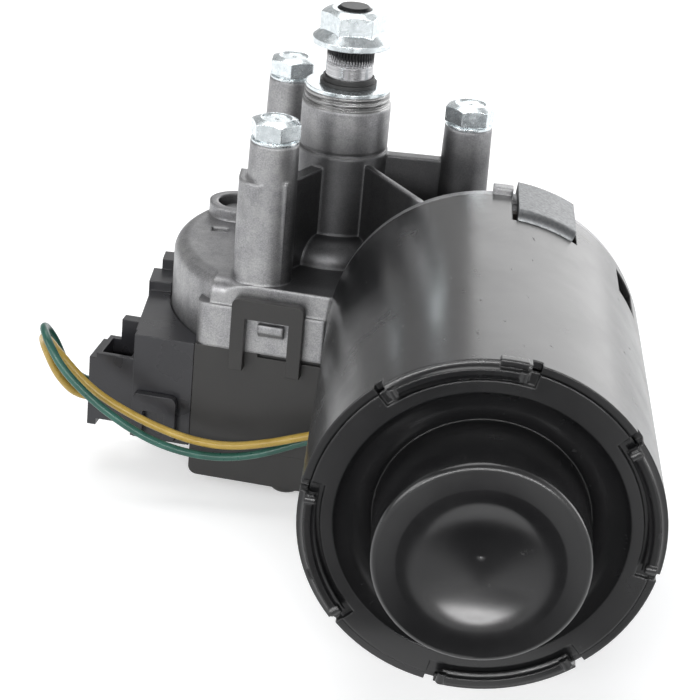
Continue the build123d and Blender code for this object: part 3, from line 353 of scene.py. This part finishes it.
def zinc_plate():
    """Bright bluish plating, faintly mottled."""
    p = Paint("zinc_plate")
    mottle = p.noise(0.0012, 3, 0.6)
    p.colour(p.ramp(mottle, [(0.3, (0.58, 0.63, 0.65)), (0.7, (0.80, 0.85, 0.87))]))
    p.rough(p.ramp(p.noise(0.0014, 2, 0.5), [(0.3, 0.20), (0.7, 0.30)]))
    p.put(Metallic=0.95)
    p.surface([(p.noise(0.0022, 2, 0.5), 0.10, 0.00005)], 0.0003)
    return p.material


def bright_steel():
    """Turned metal with fine rings round the Z axis."""
    p = Paint("bright_steel")
    rings = p.noise(0.00018, 2, 0.5, p.stretched(RINGS_ROUND_Z))
    p.colour(p.ramp(rings, [(0.3, (0.4125, 0.418, 0.429)), (0.7, 0.66)]))
    p.rough(p.ramp(rings, [(0.3, 0.36), (0.7, 0.26)]))
    p.put(Metallic=1.0)
    p.surface([(rings, 0.2, 0.00003)], 0.00025)
    return p.material


KNURL_TEETH = 48
OXIDE_FOOT = 0.0053   # lowest height of the black oxide, at a spline's root
OXIDE_ARCH = 0.0034   # how much it rises over a whole tooth pitch
OXIDE_FADE = 0.0003


def splined_shaft():
    """Ground steel shaft: black oxide on the stud and down between the splines."""
    p = Paint("splined_shaft")
    x, y, height = p.place()
    tooth = p.times(p.calculate("ARCTAN2", y, x), KNURL_TEETH / (2 * math.pi))
    wave = p.calculate("PINGPONG", tooth, 0.5)
    foot = p.calculate("ADD", p.times(wave, OXIDE_ARCH), OXIDE_FOOT)
    black = p.between(height, foot, p.calculate("ADD", foot, OXIDE_FADE))
    rings = p.noise(0.00016, 2, 0.5, p.stretched(RINGS_ROUND_Z))
    bright = p.ramp(rings, [(0.3, (0.30, 0.30, 0.31)), (0.7, (0.58, 0.58, 0.59))])
    stain = p.ramp(p.noise(0.0007, 3, 0.6), [(0.3, (0.016, 0.017, 0.02)), (0.7, 0.05)])
    p.colour(p.mix(black, bright, stain))
    p.rough(p.mix(black, p.ramp(rings, [(0.3, 0.30), (0.7, 0.2)]), 0.4))
    p.put(Metallic=1.0)
    p.surface([(rings, 0.15, 0.00003)], 0.0002)
    return p.material


def black_enamel():
    """Sprayed gloss black with slight orange peel, dust and hairline scuffs."""
    p = Paint("black_enamel")
    cloud = p.noise(0.014, 4, 0.6)
    scuff = p.noise(0.0035, 5, 0.75, p.stretched((1.0, 0.12, 1.0)))
    scuff = p.ramp(scuff, [(0.66, 0.0), (0.74, 1.0)])
    nick = p.noise(0.0022, 4, 0.7, p.stretched((1.0, 0.45, 1.0)))
    nick = p.ramp(nick, [(0.69, 0.0), (0.72, 1.0)])
    base = p.ramp(cloud, [(0.3, (0.006, 0.006, 0.0065)), (0.7, (0.010, 0.010, 0.0105))])
    p.colour(p.mix(p.times(scuff, 0.25), base, 0.09))
    smooth = p.ramp(cloud, [(0.3, 0.20), (0.7, 0.28)])
    p.rough(p.mix(p.times(nick, 0.6), smooth, 0.75))
    p.put(IOR=1.6)
    p.surface([(p.noise(0.0016, 2, 0.5), 0.08, 0.00004),
               (p.noise(0.012, 2, 0.5), 0.10, 0.00030)], 0.0005)
    return p.material


def moulded(name, dark, light, rough):
    """Injection-moulded plastic with a fine spark-eroded grain."""
    p = Paint(name)
    fine = p.noise(0.00025, 3, 0.6)
    cloud = p.noise(0.008, 3, 0.5)
    p.colour(p.mix(0.5, p.ramp(fine, [(0.3, dark), (0.7, light)]),
                   p.ramp(cloud, [(0.3, dark), (0.7, light)])))
    p.rough(p.ramp(cloud, [(0.3, rough - 0.05), (0.7, rough + 0.07)]))
    p.surface([(fine, 0.25, 0.00003)], 0.00035)
    return p.material


def mottled(name, dark, light, rough, metallic=1.0):
    """Plain metal or ferrite with a fine uneven tone."""
    p = Paint(name)
    grain = 0.0007
    mottle = p.noise(grain, 4, 0.6)
    p.colour(p.ramp(mottle, [(0.3, dark), (0.7, light)]))
    p.rough(p.ramp(mottle, [(0.3, rough + 0.06), (0.7, rough - 0.05)]))
    p.put(Metallic=metallic)
    p.surface([(p.noise(grain / 2, 2, 0.5), 0.15, 0.00004)], 0.00025)
    return p.material


def laminated_core():
    """Stack of thin punched sheets: fine dark joints across the Y axis."""
    p = Paint("laminated_core")
    sheets = p.noise(0.0005, 1, 0.5, p.stretched((0.01, 1.0, 0.01)))
    mottle = p.noise(0.0012, 3, 0.6)
    p.colour(p.mix(0.6, p.ramp(mottle, [(0.3, (0.10, 0.10, 0.11)), (0.7, (0.17, 0.17, 0.18))]),
                   p.ramp(sheets, [(0.40, 0.03), (0.52, (0.20, 0.20, 0.21))])))
    p.rough(p.ramp(sheets, [(0.4, 0.55), (0.6, 0.38)]))
    p.put(Metallic=1.0)
    p.surface([(sheets, 0.4, 0.00008)], 0.00025)
    return p.material


def sheath(name, dark, light):
    """Shiny extruded wire insulation."""
    p = Paint(name)
    p.colour(p.ramp(p.noise(0.004, 3, 0.5), [(0.3, dark), (0.7, light)]))
    p.rough(p.ramp(p.noise(0.0008, 2, 0.5), [(0.3, 0.26), (0.7, 0.38)]))
    p.surface([(p.noise(0.0005, 2, 0.5), 0.1, 0.00003)])
    return p.material


FINISHES = {
    "cast_alloy": cast_alloy(),
    "zinc_steel": zinc_plate(),
    "bright_steel": bright_steel(),
    "bronze": mottled("sintered_bronze", (0.30, 0.19, 0.09), (0.44, 0.29, 0.14), 0.42),
    "black_rubber": moulded("black_rubber", 0.012, 0.022, 0.5),
    "white_nylon": moulded("white_nylon", (0.66, 0.63, 0.55), (0.74, 0.71, 0.64), 0.45),
    "spring_steel": mottled("spring_steel", (0.26, 0.27, 0.29), (0.38, 0.39, 0.41), 0.3),
    "copper": mottled("copper", (0.50, 0.19, 0.08), (0.66, 0.29, 0.14), 0.3),
    "core_steel": laminated_core(),
    "dark_moulding": moulded("dark_moulding", (0.035, 0.028, 0.022), (0.055, 0.045, 0.036), 0.5),
    "black_enamel": black_enamel(),
    "ferrite": mottled("ferrite", 0.035, 0.055, 0.6, metallic=0.1),
    "clip_steel": mottled("clip_steel", (0.12, 0.125, 0.13), (0.19, 0.195, 0.20), 0.42),
    "brass": mottled("pressed_brass", (0.58, 0.42, 0.16), (0.70, 0.53, 0.24), 0.28),
    "carbon": moulded("carbon", 0.02, 0.035, 0.6),
    "cover_plastic": moulded("cover_plastic", (0.015, 0.0145, 0.014), (0.026, 0.025, 0.024), 0.44),
    "connector_plastic": moulded("connector_plastic", (0.014, 0.014, 0.016),
                                 (0.025, 0.025, 0.029), 0.30),
    "yellow_sheath": sheath("yellow_sheath", (0.36, 0.235, 0.035), (0.45, 0.31, 0.065)),
    "green_sheath": sheath("green_sheath", (0.012, 0.068, 0.050), (0.026, 0.115, 0.086)),
}


def dress(obj, material):
    obj.data.materials.clear()
    obj.data.materials.append(material)


for item in frame["record"]["subparts"]:
    dress(NODES[item["node"]], FINISHES[item["material_slot"]])
dress(NODES["output_shaft"], splined_shaft())
dress(yellow, FINISHES["yellow_sheath"])
dress(green, FINISHES["green_sheath"])


# ------------------------------------------------------------------ armature coils
class ShapeTree:
    """Short way to write a geometry node tree with named inputs."""

    def __init__(self, name, inputs):
        self.tree = bpy.data.node_groups.new(name, "GeometryNodeTree")
        self.keys = {}
        for label, kind in inputs.items():
            item = self.tree.interface.new_socket(label, in_out="INPUT",
                                                  socket_type="NodeSocket" + kind)
            self.keys[label] = item.identifier
        self.tree.interface.new_socket("Geometry", in_out="OUTPUT",
                                       socket_type="NodeSocketGeometry")
        self.inputs = self.tree.nodes.new("NodeGroupInput").outputs
        self.end = self.tree.nodes.new("NodeGroupOutput").inputs[0]

    def node(self, kind, mode=None, **sockets):
        """A new node with its inputs fed, by name, or by number as n0, n1.
        Its mode is set first, because that decides which inputs it has."""
        node = self.tree.nodes.new(kind)
        if mode:
            node.mode = mode
        for key, value in sockets.items():
            number = key[1:]
            socket = node.inputs[int(number) if number.isdigit() else key.replace("_", " ")]
            feed(self.tree, socket, value)
        return node

    def calculate(self, way, first, second):
        return calculate(self.tree, way, first, second)

    def bake(self, name, values):
        """The tree's result as a plain mesh object at the origin."""
        maker = bpy.data.objects.new(name + "_maker", bpy.data.meshes.new(name + "_maker"))
        bpy.context.collection.objects.link(maker)
        modifier = maker.modifiers.new("maker", "NODES")
        modifier.node_group = self.tree
        for label, value in values.items():
            modifier[self.keys[label]] = value
        graph = bpy.context.evaluated_depsgraph_get()
        mesh = bpy.data.meshes.new_from_object(maker.evaluated_get(graph))
        maker.modifiers.remove(modifier)
        bpy.data.objects.remove(maker)
        mesh.name = name
        shell = bmesh.new()
        shell.from_mesh(mesh)
        bmesh.ops.remove_doubles(shell, verts=shell.verts, dist=1e-7)
        bmesh.ops.recalc_face_normals(shell, faces=shell.faces)
        shell.to_mesh(mesh)
        shell.free()
        for face in mesh.polygons:
            face.use_smooth = True
        piece = bpy.data.objects.new(name, mesh)
        bpy.context.collection.objects.link(piece)
        return piece


COIL_LAYERS = 9
COIL_HALF_SPAN = math.radians(58)
COIL_SHIFT = 0.0002       # how far a coil may sit off centre along the core
RIM_TO_COILS = 0.0036     # from the core's rim to the outermost wire
core_low, core_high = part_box("armature_core")
COIL_SIZES = {
    "Wire": 0.00105,
    "Core Length": core_high[1] - core_low[1],
    "Outer Radius": (core_high[0] - core_low[0]) / 2 - RIM_TO_COILS,
    "Layer Pitch": 0.00098,
    "First Overhang": 0.0016,
    "Overhang Step": 0.00042,
    "Corner": 0.0030,
    "Slots": 12,
    "Seed": 5,
    "Centre": tuple((low + high) / 2 for low, high in zip(core_low, core_high)),
}


def coil_loops(maker):
    """One loop a layer through two slots, each layer deeper and reaching further out."""
    given = maker.inputs
    wire_round = maker.node("GeometryNodeCurvePrimitiveCircle", Resolution=7,
                            Radius=maker.calculate("MULTIPLY", given["Wire"], 0.5))
    loops = maker.node("GeometryNodeJoinGeometry")
    for layer in range(COIL_LAYERS):
        depth = maker.calculate("MULTIPLY", given["Layer Pitch"], layer)
        radius = maker.calculate("SUBTRACT", given["Outer Radius"], depth)
        growth = maker.calculate("MULTIPLY", given["Overhang Step"], layer)
        overhang = maker.calculate("ADD", given["First Overhang"], growth)
        both_ends = maker.calculate("MULTIPLY", overhang, 2.0)
        width = maker.calculate("MULTIPLY", radius, 2 * math.sin(COIL_HALF_SPAN))
        height = maker.calculate("ADD", given["Core Length"], both_ends)
        quad = maker.node("GeometryNodeCurvePrimitiveQuadrilateral", Width=width, Height=height)
        bent = maker.node("GeometryNodeFilletCurve", mode="POLY", Curve=quad.outputs[0],
                          Count=5, Radius=given["Corner"])
        rise = maker.node("ShaderNodeCombineXYZ",
                          Z=maker.calculate("MULTIPLY", radius, math.cos(COIL_HALF_SPAN)))
        put = maker.node("GeometryNodeTransform", Geometry=bent.outputs[0],
                         Translation=rise.outputs[0])
        tube = maker.node("GeometryNodeCurveToMesh", Curve=put.outputs[0],
                          Profile_Curve=wire_round.outputs[0])
        feed(maker.tree, loops.inputs[0], tube.outputs[0])
    return loops.outputs[0]


def coil_turns(material):
    """Lap winding: rounded loops through two slots each, repeated round the core."""
    maker = ShapeTree("lap_winding", {
        "Wire": "Float", "Core Length": "Float", "Outer Radius": "Float",
        "Layer Pitch": "Float", "First Overhang": "Float", "Overhang Step": "Float",
        "Corner": "Float", "Slots": "Int", "Seed": "Int", "Centre": "Vector",
        "Finish": "Material"})
    given = maker.inputs
    loops = coil_loops(maker)
    shift = maker.node("FunctionNodeRandomValue", n2=-COIL_SHIFT, n3=COIL_SHIFT,
                       Seed=given["Seed"])
    along = maker.node("ShaderNodeCombineXYZ", Y=shift.outputs[1])
    spots = maker.node("GeometryNodePoints", Count=given["Slots"], Position=along.outputs[0])
    step = maker.calculate("DIVIDE", 2 * math.pi, given["Slots"])
    index = maker.node("GeometryNodeInputIndex")
    turn = maker.node("ShaderNodeCombineXYZ",
                      Y=maker.calculate("MULTIPLY", index.outputs[0], step))
    round_core = maker.node("GeometryNodeInstanceOnPoints", Points=spots.outputs[0],
                            Instance=loops, Rotation=turn.outputs[0])
    whole = maker.node("GeometryNodeRealizeInstances", Geometry=round_core.outputs[0])
    placed = maker.node("GeometryNodeTransform", Geometry=whole.outputs[0],
                        Translation=given["Centre"])
    dressed = maker.node("GeometryNodeSetMaterial", Geometry=placed.outputs[0],
                         Material=given["Finish"])
    feed(maker.tree, maker.end, dressed.outputs[0])
    piece = maker.bake("coil_turns", {**COIL_SIZES, "Finish": material})
    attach(piece, "armature")
    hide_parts("armature_windings")


coil_turns(FINISHES["copper"])


# ------------------------------------------------------------------ stage and light
FLOOR_HEIGHT = cad_box[0][2] - 0.0002
FLOOR_REACH = 0.95
FLOOR_LIFT = 0.36          # glow that makes the floor white to the eye
MATT = 0.9                 # roughness of the floor and the card

# A dark card stands in for the shaded floor in front of the drum, in reflections only: painted
# shade.
CARD_HEIGHT = cad_box[0][2] + 0.001
CARD_ACROSS = (-0.5, 0.6)
CARD_DEPTH = (-0.9, -0.155)
CARD_MIDDLE = 0.037        # X of its darkest line, under the drum's axis
CARD_DARK_TO = 0.018       # from the middle to where it starts to lighten
CARD_LIGHT_FROM = 0.045
CARD_TONES = (0.01, 0.65)  # at the middle and at the sides

FILL_COLOUR = (0.95, 0.97, 1.0)
FILL_STRENGTH = 0.36            # of the world, as light on matt surfaces
BACKDROP_ACROSS = (-0.45, 0.2)  # X of the reflected direction, dim to full
BACKDROP_TONES = (0.45, 1.0)
CEILING_HEIGHT = (0.45, 0.85)   # Z of the reflected direction, full to dim
CEILING_TONES = (1.0, 0.42)


def level_sheet(name, across, depth, height, material):
    """A flat rectangle facing up, as part of the stage."""
    mesh = bpy.data.meshes.new(name)
    (left, right), (front, back) = across, depth
    corners = [(left, front, height), (right, front, height),
               (right, back, height), (left, back, height)]
    mesh.from_pydata(corners, [], [(0, 1, 2, 3)])
    mesh.materials.append(material)
    obj = bpy.data.objects.new(name, mesh)
    bpy.context.collection.objects.link(obj)
    return obj


def floor_paper():
    """Pale matt paper that glows for the rays that look at it, so it reads as white."""
    material, tree, shader = new_material("floor_paper")
    shader.inputs["Base Color"].default_value = with_alpha(0.86)
    shader.inputs["Roughness"].default_value = MATT
    shader.inputs["Emission Color"].default_value = with_alpha(1)
    lift = calculate(tree, "MULTIPLY", seen_directly(tree), FLOOR_LIFT)
    feed(tree, shader.inputs["Emission Strength"], lift)
    return material


def painted_shade_card():
    """Matt black along the drum's axis, lighter to both sides: painted shade of the floor in front
    of the drum, for reflections only.
    """
    material, tree, shader = new_material("painted_shade_card")
    shader.inputs["Roughness"].default_value = MATT
    place = tree.nodes.new("ShaderNodeSeparateXYZ")
    feed(tree, place.inputs[0], tree.nodes.new("ShaderNodeTexCoord").outputs["Object"])
    aside = calculate(tree, "SUBTRACT", place.outputs["X"], CARD_MIDDLE)
    aside = calculate(tree, "ABSOLUTE", aside)
    fade = map_range(tree, aside, CARD_DARK_TO, CARD_LIGHT_FROM, *CARD_TONES, easing="LINEAR")
    feed(tree, shader.inputs["Base Color"], fade)
    return material


def lamp(name, place, target, width, height, power):
    data = bpy.data.lights.new(name, "AREA")
    data.shape = "RECTANGLE"
    data.size = width
    data.size_y = height
    data.energy = power
    obj = bpy.data.objects.new(name, data)
    obj.location = place
    obj.rotation_euler = (Vector(target) - Vector(place)).to_track_quat("-Z", "Y").to_euler()
    bpy.context.collection.objects.link(obj)


def studio_world():
    """White to the eye, a bright backdrop under a dim ceiling in reflections."""
    world = bpy.data.worlds.new("studio")
    world.use_nodes = True
    tree = world.node_tree
    fill = tree.nodes["Background"]
    fill.inputs["Color"].default_value = with_alpha(FILL_COLOUR)
    fill.inputs["Strength"].default_value = FILL_STRENGTH
    seen = tree.nodes.new("ShaderNodeBackground")
    seen.inputs["Color"].default_value = with_alpha(1)
    way = tree.nodes.new("ShaderNodeSeparateXYZ")
    feed(tree, way.inputs[0], tree.nodes.new("ShaderNodeTexCoord").outputs["Generated"])
    backdrop = map_range(tree, way.outputs["X"], *BACKDROP_ACROSS, *BACKDROP_TONES)
    ceiling = map_range(tree, way.outputs["Z"], *CEILING_HEIGHT, *CEILING_TONES)
    shine = calculate(tree, "MULTIPLY", backdrop, ceiling)
    camera = tree.nodes.new("ShaderNodeLightPath").outputs["Is Camera Ray"]
    feed(tree, seen.inputs["Strength"], calculate(tree, "MAXIMUM", shine, camera))
    mix = tree.nodes.new("ShaderNodeMixShader")
    for socket, value in zip(mix.inputs, (seen_directly(tree), fill.outputs[0], seen.outputs[0])):
        feed(tree, socket, value)
    feed(tree, tree.nodes["World Output"].inputs["Surface"], mix.outputs[0])
    return world


level_sheet("floor", (-FLOOR_REACH, FLOOR_REACH), (-FLOOR_REACH, FLOOR_REACH), FLOOR_HEIGHT,
            floor_paper())

MIDDLE = (0.01, -0.05, -0.03)
DRUM_FRONT = (0.035, -0.137, -0.046)
lamp("back_panel", (0.52, 0.95, 0.30), MIDDLE, width=1.3, height=0.75, power=4.4)
lamp("overhead", (-0.15, 0.30, 0.9), MIDDLE, width=0.8, height=0.6, power=4.0)
lamp("left_fill", (-0.85, -0.55, 0.35), MIDDLE, width=0.5, height=0.5, power=3.6)
lamp("front_strip", (0.0, -1.0, 0.30), DRUM_FRONT, width=1.5, height=0.10, power=9.0)
lamp("right_panel", (0.95, 0.35, 0.16), MIDDLE, width=0.6, height=0.45, power=2.6)

# The card lies in front of the drum and is seen only in its gloss: a dark sheet that puts painted
# shade of the floor into the reflections of the drum and its end cap.
card = level_sheet("black_card", CARD_ACROSS, CARD_DEPTH, CARD_HEIGHT, painted_shade_card())
for ray in ("camera", "diffuse", "transmission", "volume_scatter", "shadow"):
    setattr(card, "visible_" + ray, False)

bpy.context.scene.world = studio_world()
bpy.context.scene.view_settings.view_transform = "Standard"
